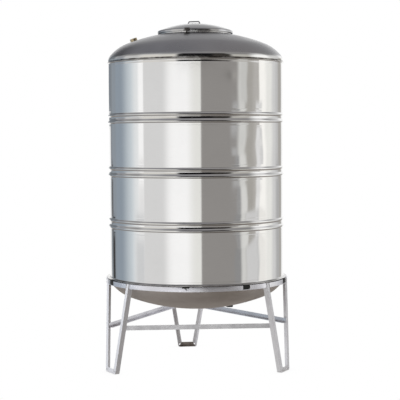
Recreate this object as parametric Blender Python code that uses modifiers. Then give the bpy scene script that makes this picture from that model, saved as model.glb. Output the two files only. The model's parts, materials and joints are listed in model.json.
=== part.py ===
"""Vertical stainless storage tank, about 1000 litres, on a welded three-legged stand.

The origin is on the floor, in the middle of the plan, with +Z up and the front at -Y. Sizes are in metres.
Pieces are placed about the tank's own axis, which an empty holds. Azimuths start at the front and grow
towards +X.
"""
import math

import bmesh
import bpy
from mathutils import Matrix, Vector

# General
GAP = 0.0003
SIDES = 48
SMALL_SIDES = 24
OVERRUN = 0.020
MERGE = 0.00001
PART_COLLECTION = "vertical_storage_tank"
CUTTER_COLLECTION = "cutters"
AXIS_PLACE = (0.0, -0.0177, 0.0)
UP = Vector((0.0, 0.0, 1.0))

# Tank: a rolled sheet 1219 mm wide between two pressed ends
SHELL_RADIUS = 0.480
SHEET = 0.003
SEAM_HEIGHT = 1.665
BASE_HEIGHT = 0.4897
SEAM_BEAD_HEIGHT = SEAM_HEIGHT - 0.005
SEAM_BEAD_PROUD = 0.0055
SEAM_BEAD_HALF = 0.0045
FLARE_RADIUS = 0.496
FLARE_HEIGHT = 0.007
FLARE_LIP = 0.0018
BEAD_PAIR_HEIGHTS = (1.358, 1.0718, 0.7915)
BEAD_SPACING = 0.0336
BEAD_HALF = 0.0125
BEAD_FLANK = 0.008
BEAD_PROUD = 0.005
FLARE_STEPS = 3

# Pressed ends: a crown arc, a shoulder arc and a small rim roll, each tangent to the next
CROWN_RADIUS = 1.051
CROWN_EDGE = math.radians(21.2)
RIM_ROLL_EDGE = math.radians(52.6)
RIM_ROLL_RADIUS = 0.0293
ROOF_SKIRT = 0.0103
DISH_SKIRT = 0.0168
ROOF_RIM_RADIUS = 0.4805
DISH_RIM_RADIUS = 0.4785
ROOF_RIM = (ROOF_RIM_RADIUS, ROOF_SKIRT)
DISH_RIM = (DISH_RIM_RADIUS, DISH_SKIRT)
CUTTER_STEPS = (6, 12, 24)

# Manhole and its lid
NECK_RADIUS = 0.198
NECK_WALL = 0.002
NECK_BELOW_ROOF = 0.007
LID_TURN = math.radians(-12.0)
LID_RADIUS = 0.207
LID_SHEET = 0.002
LID_CROWN_RADIUS = 0.530
LID_TOP = SEAM_HEIGHT + 0.2127
LID_BOTTOM = SEAM_HEIGHT + 0.1575
LID_EDGE_ROLL = 0.007
LID_CROWN_STEPS = 5
LID_ROLL_STEPS = 3
HANDLE_MIDDLE = -0.007
HANDLE_FOOT_SPAN = 0.072
HANDLE_BAR_SPAN = 0.052
HANDLE_RISE = 0.0125
HANDLE_ROD = 0.0025
ROD_BEND = 0.003
ROD_SINK = 0.004

# Lid hinge at the back and hasp at the front
HINGE_BACK = 0.222
HINGE_HEIGHT = SEAM_HEIGHT + 0.165
HINGE_PIN_RADIUS = 0.003
HINGE_BORE_RADIUS = 0.0034
HINGE_KNUCKLE_RADIUS = 0.0065
HINGE_LEAF_HALF = 0.012
HINGE_EAR_GAP = 0.001
HINGE_EAR_THICKNESS = 0.005
HINGE_PIN_HALF = 0.020
HINGE_STRAP_HALF = 0.002
HINGE_BASE = (0.052, 0.018, 0.006)
HASP_HALF_WIDTH = 0.014
HASP_THICKNESS = 0.0025
HASP_TOP = SEAM_HEIGHT + 0.174
HASP_TAB_REACH = 0.240
HASP_SLOT = (0.213, 0.233, 0.0085)
STAPLE_SPAN = (0.2175, 0.2285)
STAPLE_TOP = SEAM_HEIGHT + 0.172
STAPLE_ROD = 0.002

# Threaded sockets
ROOF_SOCKET_AT = (0.335, math.radians(-88.0))
ROOF_SOCKET_RADII = (0.0195, 0.014)
ROOF_SOCKET_RISE = 0.0175
ROOF_SOCKET_SINK = 0.010
DRAIN_AT = (0.197, math.radians(66.0))
DRAIN_RADII = (0.0185, 0.013)
DRAIN_DROP = 0.005
DRAIN_PLUG_LIP = 0.003

# Stand: a hoop and three trapezoid legs of steel angle, tied by three straight braces
ANGLE = 0.025
ANGLE_SHEET = 0.003
HOOP_INNER = 0.481
HOOP_OUTER = 0.501
HOOP_TOP = 0.487
HOOP_STEP = math.radians(5.0)
LEG_AZIMUTHS = {"left": math.radians(-60.4), "right": math.radians(62.4), "back": math.radians(186.5)}
LEG_TOP_RADIUS = 0.4866
LEG_TOP_HALF = 0.1341
LEG_FOOT_RADIUS = 0.5345
LEG_FOOT_HALVES = {"left": 0.0577, "right": 0.0537, "back": 0.054}
BRACE_PAST_EDGE = 0.021
BRACES = {
    "front": (("left", 1, 0.2495), ("right", -1, 0.2555)),
    "right": (("right", 1, 0.260), ("back", -1, 0.252)),
    "left": (("back", 1, 0.256), ("left", -1, 0.2435)),
}

# Rubber pads folded over the hoop, on which the tank sits: azimuth, half angle, and drop down the outer face
PAD_THICKNESS = 0.0021
PAD_STEPS = 3
PADS = {
    "front_left": (-6.5, 2.0, 0.0060), "front_right": (31.0, 2.2, 0.0215), "left_leg": (-65.8, 2.2, 0.0215),
    "right_leg": (70.8, 2.2, 0.0215), "back_leg": (194.0, 2.2, 0.0215), "back_right": (124.0, 2.2, 0.0215),
    "back_left": (-117.0, 2.2, 0.0215),
}

# Colours: base colour, roughness, metallic
FINISHES = {
    "polished_steel": ((0.62, 0.61, 0.60), 0.22, 1.0),
    "stand_steel": ((0.58, 0.58, 0.62), 0.42, 0.7),
    "dark_steel": ((0.12, 0.11, 0.10), 0.45, 0.9),
    "brass": ((0.55, 0.44, 0.27), 0.35, 1.0),
    "black_plastic": ((0.02, 0.02, 0.02), 0.5, 0.0),
    "rubber": ((0.015, 0.015, 0.014), 0.8, 0.0),
}


def clear_scene():
    """Remove every object, and the collections of an earlier run."""
    for item in list(bpy.data.objects):
        bpy.data.objects.remove(item, do_unlink=True)
    for name in (PART_COLLECTION, CUTTER_COLLECTION):
        old = bpy.data.collections.get(name)
        if old:
            bpy.data.collections.remove(old)


def new_collection(name):
    """Add a collection to the scene."""
    group = bpy.data.collections.new(name)
    bpy.context.scene.collection.children.link(group)
    return group


def finish(name):
    """Return the named material, made on first use."""
    material = bpy.data.materials.get(name)
    if material:
        return material
    colour, roughness, metallic = FINISHES[name]
    material = bpy.data.materials.new(name)
    material.use_nodes = True
    shader = material.node_tree.nodes["Principled BSDF"]
    shader.inputs["Base Color"].default_value = (*colour, 1.0)
    shader.inputs["Roughness"].default_value = roughness
    shader.inputs["Metallic"].default_value = metallic
    material.diffuse_color = (*colour, 1.0)
    return material


def new_empty(name, matrix, parent=None):
    """Add an empty, placed relative to its parent."""
    empty = bpy.data.objects.new(name, None)
    bpy.data.collections[PART_COLLECTION].objects.link(empty)
    empty.parent = parent
    empty.matrix_basis = matrix
    return empty


def place(name, mesh, material, matrix=None):
    """Make a part of a mesh, placed relative to the tank's axis."""
    item = bpy.data.objects.new(name, mesh)
    bpy.data.collections[PART_COLLECTION].objects.link(item)
    item.parent = bpy.data.objects["tank_axis"]
    if matrix is not None:
        item.matrix_basis = matrix
    own = finish(material).copy()
    own.name = f"{name}_{material}"
    mesh.materials.append(own)
    return item


def as_cutter(item):
    """Move an object to the cutters, out of sight."""
    for group in list(item.users_collection):
        group.objects.unlink(item)
    bpy.data.collections[CUTTER_COLLECTION].objects.link(item)
    item.hide_render = True
    item.display_type = "WIRE"
    return item


def boolean(item, other, operation="DIFFERENCE"):
    """Cut or join an object with another one, which becomes a cutter."""
    modifier = item.modifiers.new(f"{operation.lower()}_{other.name}", "BOOLEAN")
    modifier.operation = operation
    modifier.solver = "EXACT"
    modifier.object = other
    if other.name not in bpy.data.collections[CUTTER_COLLECTION].objects:
        as_cutter(other)
    return item


def box_mesh(name, size):
    """A box about the origin."""
    mesh = bpy.data.meshes.new(name)
    shape = bmesh.new()
    bmesh.ops.create_cube(shape, size=1.0, matrix=Matrix.Diagonal((*size, 1.0)))
    shape.to_mesh(mesh)
    shape.free()
    return mesh


def rod_mesh(name, radius, length):
    """A cylinder about the origin, along Z."""
    mesh = bpy.data.meshes.new(name)
    shape = bmesh.new()
    bmesh.ops.create_cone(
        shape, cap_ends=True, segments=SMALL_SIDES, radius1=radius, radius2=radius, depth=length)
    shape.to_mesh(mesh)
    shape.free()
    return mesh


def block(name, size, material, matrix):
    """A box part, placed by its middle."""
    return place(name, box_mesh(name, size), material, matrix)


def turned(name, profile, material, closed=True, steps=SIDES):
    """A turned piece about Z, from (radius, height) points that run down its outer side."""
    mesh = bpy.data.meshes.new(name)
    points = [(radius, 0.0, height) for radius, height in profile]
    edges = [(i, i + 1) for i in range(len(points) - 1)]
    if closed:
        edges.append((len(points) - 1, 0))
    mesh.from_pydata(points, edges, [])
    item = place(name, mesh, material)
    screw = item.modifiers.new("turn", "SCREW")
    screw.axis = "Z"
    screw.angle = math.tau
    screw.steps = steps
    screw.render_steps = steps
    screw.use_merge_vertices = True
    screw.merge_threshold = 0.0001
    screw.use_smooth_shade = True
    return item


def extruded(name, outline, thickness, material, matrix):
    """A flat outline, given as (x, y) points, with a thickness along its own Z."""
    curve = bpy.data.curves.new(name, "CURVE")
    curve.dimensions = "2D"
    curve.fill_mode = "BOTH"
    curve.extrude = thickness / 2
    spline = curve.splines.new("POLY")
    spline.points.add(len(outline) - 1)
    for point, (x, y) in zip(spline.points, outline):
        point.co = (x, y, 0.0, 1.0)
    spline.use_cyclic_u = True
    return curve_to_part(name, curve, material, matrix)


def bent_rod(name, points, radius, material, matrix):
    """A round rod through the points, with round bends where the points lie close."""
    curve = bpy.data.curves.new(name, "CURVE")
    curve.dimensions = "3D"
    curve.bevel_depth = radius
    curve.bevel_resolution = 2
    curve.use_fill_caps = True
    spline = curve.splines.new("POLY")
    spline.points.add(len(points) - 1)
    for point, place_at in zip(spline.points, points):
        point.co = (*place_at, 1.0)
    return curve_to_part(name, curve, material, matrix)


def curve_to_part(name, curve, material, matrix):
    """Turn a curve into a closed mesh part."""
    holder = bpy.data.objects.new(f"{name}_curve", curve)
    bpy.context.scene.collection.objects.link(holder)
    holder.matrix_world = matrix
    bpy.context.view_layer.update()
    ready = holder.evaluated_get(bpy.context.evaluated_depsgraph_get())
    mesh = bpy.data.meshes.new_from_object(ready)
    bpy.data.objects.remove(holder, do_unlink=True)
    shape = bmesh.new()
    shape.from_mesh(mesh)
    bmesh.ops.remove_doubles(shape, verts=shape.verts, dist=MERGE)
    bmesh.ops.recalc_face_normals(shape, faces=shape.faces)
    shape.to_mesh(mesh)
    shape.free()
    mesh.materials.clear()
    return place(name, mesh, material, matrix)


def polar(radius, azimuth, height=0.0):
    """A point at a radius and an azimuth."""
    return Vector((radius * math.sin(azimuth), -radius * math.cos(azimuth), height))


def end_profile(rim, inset=0.0, inner_radius=0.0, rim_steps=3, shoulder_steps=5, crown_steps=5):
    """Points (radius, height over the seam) of a pressed end, from inner_radius out and down to the rim.

    The rim is its radius and the height of its short upright skirt.
    """
    rim_radius, skirt = rim
    crown_edge = CROWN_RADIUS * math.sin(CROWN_EDGE)
    roll_width = RIM_ROLL_RADIUS * (1.0 - math.sin(RIM_ROLL_EDGE))
    shoulder = (rim_radius - crown_edge - roll_width) / (math.sin(RIM_ROLL_EDGE) - math.sin(CROWN_EDGE))
    roll_centre = Vector((rim_radius - RIM_ROLL_RADIUS, skirt))
    roll_dir = Vector((math.sin(RIM_ROLL_EDGE), math.cos(RIM_ROLL_EDGE)))
    shoulder_centre = roll_centre + roll_dir * (RIM_ROLL_RADIUS - shoulder)
    crown_dir = Vector((math.sin(CROWN_EDGE), math.cos(CROWN_EDGE)))
    crown_centre = shoulder_centre + crown_dir * (shoulder - CROWN_RADIUS)
    start = math.asin(inner_radius / (CROWN_RADIUS - inset))
    arcs = (
        (crown_centre, CROWN_RADIUS, start, CROWN_EDGE, crown_steps),
        (shoulder_centre, shoulder, CROWN_EDGE, RIM_ROLL_EDGE, shoulder_steps),
        (roll_centre, RIM_ROLL_RADIUS, RIM_ROLL_EDGE, math.pi / 2, rim_steps),
    )
    points = []
    for centre, radius, low, high, steps in arcs:
        for step in range(steps + 1):
            if step == 0 and points:
                continue
            angle = low + (high - low) * step / steps
            reach = radius - inset
            points.append((centre.x + reach * math.sin(angle), centre.y + reach * math.cos(angle)))
    return points


def crown_height(rim, radius):
    """Height of a pressed end's outside over its seam, at a radius on its crown."""
    top = end_profile(rim)[0][1]
    return top - CROWN_RADIUS + math.sqrt(CROWN_RADIUS ** 2 - radius ** 2)


def roof_height(radius):
    """Height of the roof's outside at a radius on its crown."""
    return SEAM_HEIGHT + crown_height(ROOF_RIM, radius)


def bead_points(middle):
    """One bead with a flat top and two soft flanks, from its upper edge to its lower one."""
    flat = BEAD_HALF - BEAD_FLANK
    halfway = BEAD_HALF - BEAD_FLANK / 2
    upper = [(0.0, BEAD_HALF), (BEAD_PROUD / 2, halfway), (BEAD_PROUD, flat)]
    lower = [(out, -rise) for out, rise in reversed(upper)]
    return [(SHELL_RADIUS + out, middle + rise) for out, rise in upper + lower]


def make_shell():
    """The rolled shell with its three pairs of beads and the flare at its foot."""
    top = SEAM_BEAD_HEIGHT - SEAM_BEAD_HALF - GAP
    profile = [(SHELL_RADIUS, top)]
    for pair in BEAD_PAIR_HEIGHTS:
        for side in (0.5, -0.5):
            profile += bead_points(pair + side * BEAD_SPACING)
    reach = FLARE_RADIUS - SHELL_RADIUS
    for step in range(FLARE_STEPS + 1):
        turn = math.pi / 2 * step / FLARE_STEPS
        out = reach * (1.0 - math.cos(turn))
        height = BASE_HEIGHT + FLARE_LIP + FLARE_HEIGHT * (1.0 - math.sin(turn))
        profile.append((SHELL_RADIUS + out, height))
    profile.append((FLARE_RADIUS, BASE_HEIGHT))
    profile.append((SHELL_RADIUS - SHEET, BASE_HEIGHT))
    profile.append((SHELL_RADIUS - SHEET, top))
    return turned("shell", profile, "polished_steel")


def make_roof():
    """The pressed roof with the manhole's opening, rolled over the shell's top edge."""
    hole = NECK_RADIUS + GAP
    outside = [(r, SEAM_HEIGHT + z) for r, z in end_profile(ROOF_RIM, 0.0, hole)]
    inside = [(r, SEAM_HEIGHT + z) for r, z in end_profile(ROOF_RIM, SHEET, hole)]
    bead_radius = SHELL_RADIUS + SEAM_BEAD_PROUD
    bead = [
        (ROOF_RIM_RADIUS, SEAM_BEAD_HEIGHT + SEAM_BEAD_HALF),
        (bead_radius, SEAM_BEAD_HEIGHT + SEAM_BEAD_HALF / 2),
        (bead_radius, SEAM_BEAD_HEIGHT - SEAM_BEAD_HALF / 2),
        (ROOF_RIM_RADIUS, SEAM_BEAD_HEIGHT - SEAM_BEAD_HALF),
        (ROOF_RIM_RADIUS - SHEET, SEAM_BEAD_HEIGHT - SEAM_BEAD_HALF),
    ]
    return turned("roof", outside + bead + inside[::-1], "polished_steel")


def make_dish():
    """The pressed bottom, the roof's twin turned over, hanging inside the hoop."""
    rim = BASE_HEIGHT - GAP
    outside = [(r, rim - z) for r, z in end_profile(DISH_RIM)]
    inside = [(r, rim - z) for r, z in end_profile(DISH_RIM, SHEET)]
    outside.append((DISH_RIM_RADIUS, rim))
    inside.append((DISH_RIM_RADIUS - SHEET, rim))
    return turned("bottom_dish", inside + outside[::-1], "polished_steel", closed=False)


def roof_cutter():
    """The space that the roof takes, for feet that stand on it."""
    top = [(r, SEAM_HEIGHT + z) for r, z in end_profile(ROOF_RIM, -GAP, 0.0, *CUTTER_STEPS)]
    return as_cutter(turned("roof_space", top + [(0.0, SEAM_HEIGHT)], "polished_steel", closed=False))


def dish_cutter():
    """The space that the bottom takes, for the socket under it."""
    rim = BASE_HEIGHT - GAP
    skin = [(r, rim - z) for r, z in end_profile(DISH_RIM, -GAP, 0.0, *CUTTER_STEPS)]
    return as_cutter(turned("dish_space", [(0.0, rim)] + skin[::-1], "polished_steel", closed=False))


def lid_profile(inset):
    """Points of the lid from its top down to its skirt, inset into the sheet."""
    crown_centre = LID_TOP - LID_CROWN_RADIUS
    roll_radius = LID_CROWN_RADIUS - LID_EDGE_ROLL
    roll_middle = LID_RADIUS - LID_EDGE_ROLL
    edge = math.asin(roll_middle / roll_radius)
    points = []
    for step in range(LID_CROWN_STEPS + 1):
        turn = edge * step / LID_CROWN_STEPS
        reach = LID_CROWN_RADIUS - inset
        points.append((reach * math.sin(turn), crown_centre + reach * math.cos(turn)))
    roll_height = crown_centre + roll_radius * math.cos(edge)
    for step in range(1, LID_ROLL_STEPS + 1):
        turn = edge + (math.pi / 2 - edge) * step / LID_ROLL_STEPS
        reach = LID_EDGE_ROLL - inset
        points.append((roll_middle + reach * math.sin(turn), roll_height + reach * math.cos(turn)))
    return points


def lid_underside(radius):
    """Height of the lid's underside at a radius."""
    reach = LID_CROWN_RADIUS - LID_SHEET
    return LID_TOP - LID_CROWN_RADIUS + math.sqrt(reach ** 2 - radius ** 2)


def make_lid():
    """The dished lid with its skirt."""
    outside = lid_profile(0.0) + [(LID_RADIUS, LID_BOTTOM)]
    inside = lid_profile(LID_SHEET) + [(LID_RADIUS - LID_SHEET, LID_BOTTOM)]
    return turned("lid", outside + inside[::-1], "polished_steel", closed=False)


def lid_cutter():
    """The space that the lid takes, for what is welded to it."""
    low = LID_BOTTOM - OVERRUN
    skin = lid_profile(-GAP) + [(LID_RADIUS + GAP, low)]
    return as_cutter(turned("lid_space", skin + [(0.0, low)], "polished_steel", closed=False))


def make_neck():
    """The manhole's short upright collar, welded into the roof."""
    top = lid_underside(NECK_RADIUS) - 2 * GAP
    bottom = roof_height(NECK_RADIUS) - NECK_BELOW_ROOF
    inner = NECK_RADIUS - NECK_WALL
    profile = [(NECK_RADIUS, top), (NECK_RADIUS, bottom), (inner, bottom), (inner, top)]
    return turned("manhole_neck", profile, "polished_steel")


def make_handle(turn, lid_space):
    """The lid's wire handle: a low trapezoid with bent corners."""
    foot = HANDLE_FOOT_SPAN / 2
    bar = HANDLE_BAR_SPAN / 2
    low = LID_TOP - ROD_SINK
    high = LID_TOP + HANDLE_RISE
    points = [
        (-foot, 0.0, low), (-bar - ROD_BEND, 0.0, high - ROD_BEND), (-bar, 0.0, high),
        (bar, 0.0, high), (bar + ROD_BEND, 0.0, high - ROD_BEND), (foot, 0.0, low),
    ]
    at = turn @ Matrix.Translation((HANDLE_MIDDLE, 0.0, 0.0))
    boolean(bent_rod("lid_handle", points, HANDLE_ROD, "polished_steel", at), lid_space)


def hinge_rod(name, radius, length, turn, middle=0.0):
    """A round bar along the hinge's axis, its middle set off along it."""
    at = Matrix.Translation((middle, HINGE_BACK, HINGE_HEIGHT)) @ Matrix.Rotation(math.pi / 2, 4, "Y")
    return place(name, rod_mesh(name, radius, length), "polished_steel", turn @ at)


def make_hinge(turn, roof_space, lid_space):
    """The hinge's bracket on the roof, its pin, and the leaf on the lid."""
    bore = as_cutter(hinge_rod("hinge_bore", HINGE_BORE_RADIUS, 2 * (HINGE_PIN_HALF + OVERRUN), turn))
    hinge_rod("hinge_pin", HINGE_PIN_RADIUS, 2 * HINGE_PIN_HALF, turn)
    leaf = hinge_rod("hinge_leaf", HINGE_KNUCKLE_RADIUS, 2 * HINGE_LEAF_HALF, turn)
    strap_length = HINGE_BACK - LID_RADIUS + LID_EDGE_ROLL
    strap_size = (2 * HINGE_LEAF_HALF, strap_length, 2 * HINGE_STRAP_HALF)
    strap_at = turn @ Matrix.Translation((0.0, HINGE_BACK - strap_length / 2, HINGE_HEIGHT))
    boolean(leaf, block("hinge_strap", strap_size, "polished_steel", strap_at), "UNION")
    boolean(leaf, lid_space)
    boolean(leaf, bore)
    base_height = roof_height(HINGE_BACK)
    slope = Matrix.Rotation(-math.asin(HINGE_BACK / CROWN_RADIUS), 4, "X")
    base_at = turn @ Matrix.Translation((0.0, HINGE_BACK, base_height)) @ slope
    base = block("hinge_bracket", HINGE_BASE, "polished_steel", base_at)
    ear_height = HINGE_HEIGHT - base_height
    ear_size = (HINGE_EAR_THICKNESS, 2 * HINGE_KNUCKLE_RADIUS, ear_height)
    for side in (-1, 1):
        middle = side * (HINGE_LEAF_HALF + HINGE_EAR_GAP + HINGE_EAR_THICKNESS / 2)
        ear_at = turn @ Matrix.Translation((middle, HINGE_BACK, HINGE_HEIGHT - ear_height / 2))
        boolean(base, block(f"hinge_ear_{side}", ear_size, "polished_steel", ear_at), "UNION")
        eye = hinge_rod(f"hinge_eye_{side}", HINGE_KNUCKLE_RADIUS, HINGE_EAR_THICKNESS, turn, middle)
        boolean(base, eye, "UNION")
    boolean(base, roof_space)
    boolean(base, bore)


def make_hasp(turn, roof_space):
    """The hasp on the lid's front, its tab slotted over the staple on the roof."""
    back = LID_RADIUS + 2 * GAP
    front = back + HASP_THICKNESS
    tab_top = LID_BOTTOM + HASP_THICKNESS
    outline = [
        (back, HASP_TOP), (front, HASP_TOP), (front, tab_top),
        (HASP_TAB_REACH, tab_top), (HASP_TAB_REACH, LID_BOTTOM), (back, LID_BOTTOM),
    ]
    side_view = Matrix(((0, 0, 1, 0), (-1, 0, 0, 0), (0, 1, 0, 0), (0, 0, 0, 1)))
    hasp = extruded("hasp", outline, 2 * HASP_HALF_WIDTH, "dark_steel", turn @ side_view)
    slot_near, slot_far, slot_width = HASP_SLOT
    slot_at = turn @ Matrix.Translation((0.0, -(slot_near + slot_far) / 2, LID_BOTTOM))
    slot_size = (slot_width, slot_far - slot_near, 2 * HASP_THICKNESS + GAP)
    boolean(hasp, block("hasp_slot", slot_size, "dark_steel", slot_at))
    near, far = STAPLE_SPAN
    foot = roof_height(far) - ROD_SINK
    bend = STAPLE_TOP - ROD_BEND
    points = [
        (0.0, -near, foot), (0.0, -near, bend), (0.0, -near - ROD_BEND, STAPLE_TOP),
        (0.0, -far + ROD_BEND, STAPLE_TOP), (0.0, -far, bend), (0.0, -far, foot),
    ]
    staple = bent_rod("staple", points, STAPLE_ROD, "dark_steel", turn)
    boolean(staple, roof_space)


def make_sockets(roof_space, dish_space):
    """The vent socket on the roof, and the plugged drain socket under the bottom."""
    radius, azimuth = ROOF_SOCKET_AT
    outer, inner = ROOF_SOCKET_RADII
    tilt = Matrix.Rotation(azimuth, 4, "Z") @ Matrix.Rotation(math.asin(radius / CROWN_RADIUS), 4, "X")
    at = Matrix.Translation(polar(radius, azimuth, roof_height(radius))) @ tilt
    low = -ROOF_SOCKET_SINK
    profile = [(outer, ROOF_SOCKET_RISE), (outer, low), (inner, low), (inner, ROOF_SOCKET_RISE)]
    socket = turned("roof_socket", profile, "brass", steps=SMALL_SIDES)
    socket.matrix_basis = at
    boolean(socket, roof_space)
    radius, azimuth = DRAIN_AT
    outer, inner = DRAIN_RADII
    top = BASE_HEIGHT - GAP - crown_height(DISH_RIM, radius)
    low = -DRAIN_DROP
    profile = [(outer, OVERRUN), (outer, low), (inner, low), (inner, OVERRUN)]
    drain = turned("drain_socket", profile, "black_plastic", steps=SMALL_SIDES)
    drain.matrix_basis = Matrix.Translation(polar(radius, azimuth, top))
    boolean(drain, dish_space)
    plug_profile = [
        (0.0, OVERRUN), (inner - GAP, OVERRUN), (inner - GAP, low - GAP), (outer, low - GAP),
        (outer, low - DRAIN_PLUG_LIP), (0.0, low - DRAIN_PLUG_LIP),
    ]
    plug = turned("drain_plug", plug_profile, "black_plastic", closed=False, steps=SMALL_SIDES)
    plug.matrix_basis = Matrix.Translation(polar(radius, azimuth, top))
    boolean(plug, dish_space)


def leg_side(leg, side):
    """The outer corner of one side of a leg, from the floor to the hoop's top, and where its flanges point."""
    azimuth = LEG_AZIMUTHS[leg]
    outward = polar(1.0, azimuth)
    along = Vector((math.cos(azimuth), math.sin(azimuth), 0.0)) * side
    foot = outward * LEG_FOOT_RADIUS + along * LEG_FOOT_HALVES[leg]
    top = outward * LEG_TOP_RADIUS + along * LEG_TOP_HALF + UP * HOOP_TOP
    return foot, top, -along, -outward


def angle_frame(start, stop, first, second):
    """A matrix along a corner line, its X along the first flange, and the sign of Y along the second one."""
    along = (stop - start).normalized()
    across = (first - along * first.dot(along)).normalized()
    normal = along.cross(across)
    matrix = Matrix((across, normal, along)).transposed().to_4x4()
    matrix.translation = (start + stop) / 2
    return matrix, math.copysign(1.0, second.dot(normal))


def angle_bar(name, start, stop, first, second):
    """A length of angle whose outer corner runs from start to stop, its flanges towards two directions."""
    matrix, sign = angle_frame(start, stop, first, second)
    wide = sign * ANGLE
    thin = sign * ANGLE_SHEET
    outline = [(0.0, 0.0), (ANGLE, 0.0), (ANGLE, thin), (ANGLE_SHEET, thin), (ANGLE_SHEET, wide), (0.0, wide)]
    return extruded(name, outline, (stop - start).length, "stand_steel", matrix)


def cut_level(item, height, keep_below):
    """Cut a mesh level at a height over the floor, and close it."""
    shape = bmesh.new()
    shape.from_mesh(item.data)
    to_local = item.matrix_basis.inverted()
    normal = (to_local.to_3x3() @ Vector((0.0, 0.0, 1.0))).normalized()
    geometry = shape.verts[:] + shape.edges[:] + shape.faces[:]
    result = bmesh.ops.bisect_plane(
        shape, geom=geometry, plane_co=to_local @ Vector((0.0, 0.0, height)), plane_no=normal,
        clear_outer=keep_below, clear_inner=not keep_below)
    rim = [part for part in result["geom_cut"] if isinstance(part, bmesh.types.BMEdge)]
    bmesh.ops.contextual_create(shape, geom=rim)
    bmesh.ops.recalc_face_normals(shape, faces=shape.faces)
    shape.to_mesh(item.data)
    shape.free()


def side_slab(leg, side):
    """A slab as wide as one side of a leg, reaching out of the leg's plane both ways."""
    foot, top, first, second = leg_side(leg, side)
    matrix, _ = angle_frame(foot, top, first, second)
    size = (ANGLE + 2 * GAP, 4 * ANGLE, (top - foot).length + 2 * OVERRUN)
    at = matrix @ Matrix.Translation((ANGLE / 2, 0.0, 0.0))
    return as_cutter(block(f"leg_{leg}_slab_{side}", size, "stand_steel", at))


def make_leg(leg, slabs):
    """One leg: two sloping sides of angle and the foot bar between them."""
    for side, word in ((-1, "a"), (1, "b")):
        foot, top, first, second = leg_side(leg, side)
        extra = (top - foot).normalized() * OVERRUN
        bar = angle_bar(f"leg_{leg}_side_{word}", foot - extra, top + extra, first, second)
        cut_level(bar, HOOP_TOP, True)
        cut_level(bar, 0.0, False)
    azimuth = LEG_AZIMUTHS[leg]
    lean = (LEG_FOOT_RADIUS - LEG_TOP_RADIUS) / HOOP_TOP
    middle = polar(LEG_FOOT_RADIUS - ANGLE / 2 * lean, azimuth)
    reach = Vector((math.cos(azimuth), math.sin(azimuth), 0.0)) * LEG_FOOT_HALVES[leg]
    foot_bar = angle_bar(f"foot_{leg}", middle - reach, middle + reach, UP, -polar(1.0, azimuth))
    for side in (-1, 1):
        boolean(foot_bar, slabs[leg, side])


def swept(name, profile, start, stop, steps, material):
    """A flat (radius, height) profile swept about the tank's axis between two azimuths."""
    mesh = bpy.data.meshes.new(name)
    shape = bmesh.new()
    face = shape.faces.new([shape.verts.new(polar(radius, start, height)) for radius, height in profile])
    bmesh.ops.spin(
        shape, geom=[face], cent=(0, 0, 0), axis=(0, 0, 1), angle=stop - start, steps=steps, use_duplicate=False)
    bmesh.ops.remove_doubles(shape, verts=shape.verts, dist=MERGE)
    bmesh.ops.recalc_face_normals(shape, faces=shape.faces)
    shape.to_mesh(mesh)
    shape.free()
    return place(name, mesh, material)


def make_hoop_piece(name, start, stop, slabs):
    """A stretch of the rolled angle of the hoop between two azimuths, cut to fit the legs at its ends."""
    wall = HOOP_OUTER - ANGLE_SHEET
    low = HOOP_TOP - ANGLE
    shelf = HOOP_TOP - ANGLE_SHEET
    profile = [
        (HOOP_INNER, HOOP_TOP), (HOOP_OUTER, HOOP_TOP), (HOOP_OUTER, low), (wall, low), (wall, shelf),
        (HOOP_INNER, shelf),
    ]
    piece = swept(name, profile, start, stop, round((stop - start) / HOOP_STEP), "stand_steel")
    for slab in slabs:
        boolean(piece, slab)


def side_azimuth(leg, side):
    """Azimuth of the middle of one side of a leg at the hoop."""
    return LEG_AZIMUTHS[leg] + side * math.atan2(LEG_TOP_HALF - ANGLE / 2, LEG_TOP_RADIUS)


def make_hoop(slabs):
    """The hoop: three short stretches within the legs and three long ones between them."""
    for leg in LEG_AZIMUTHS:
        pair = (slabs[leg, -1], slabs[leg, 1])
        make_hoop_piece(f"hoop_{leg}_leg", side_azimuth(leg, -1), side_azimuth(leg, 1), pair)
    for name, (first, second) in BRACES.items():
        start = side_azimuth(*first[:2])
        stop = side_azimuth(*second[:2])
        if stop < start:
            stop += math.tau
        make_hoop_piece(f"hoop_{name}", start, stop, (slabs[first[:2]], slabs[second[:2]]))


def brace_corner(leg, side, height):
    """Where a brace passes the edge of a leg's inward flange, at the height of the brace's underside."""
    foot, top, first, second = leg_side(leg, side)
    matrix, sign = angle_frame(foot, top, first, second)
    start = foot + matrix.to_3x3() @ Vector((ANGLE_SHEET, sign * ANGLE, 0.0))
    low = height - ANGLE / 2
    return start + (top - foot) * ((low - start.z) / HOOP_TOP)


def make_brace(name, first, second):
    """A straight angle inside two legs, its upright flange against the edges of their inward flanges."""
    start = brace_corner(*first)
    stop = brace_corner(*second)
    heading = (stop - start).normalized()
    inward = UP.cross(heading).normalized()
    start += inward * GAP - heading * BRACE_PAST_EDGE
    stop += inward * GAP + heading * BRACE_PAST_EDGE
    angle_bar(f"brace_{name}", start, stop, UP, inward)


def make_pad(name, middle, half_angle, drop):
    """A rubber strip folded over the hoop's top and down its outer face."""
    outer = HOOP_OUTER + GAP
    far = outer + PAD_THICKNESS
    top = HOOP_TOP + GAP
    high = HOOP_TOP + PAD_THICKNESS
    low = top - drop
    profile = [(HOOP_INNER, high), (far, high), (far, low), (outer, low), (outer, top), (HOOP_INNER, top)]
    start = math.radians(middle - half_angle)
    stop = math.radians(middle + half_angle)
    swept(f"pad_{name}", profile, start, stop, PAD_STEPS, "rubber")


def hang_on_hinge(turn, names):
    """Parent the lid's pieces to an empty on the hinge's axis."""
    hinge = turn @ Matrix.Translation((0.0, HINGE_BACK, HINGE_HEIGHT))
    lid_frame = new_empty("lid_frame", hinge, bpy.data.objects["tank_axis"])
    for name in names:
        item = bpy.data.objects[name]
        item.parent = lid_frame
        item.matrix_basis = hinge.inverted() @ item.matrix_basis


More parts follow.
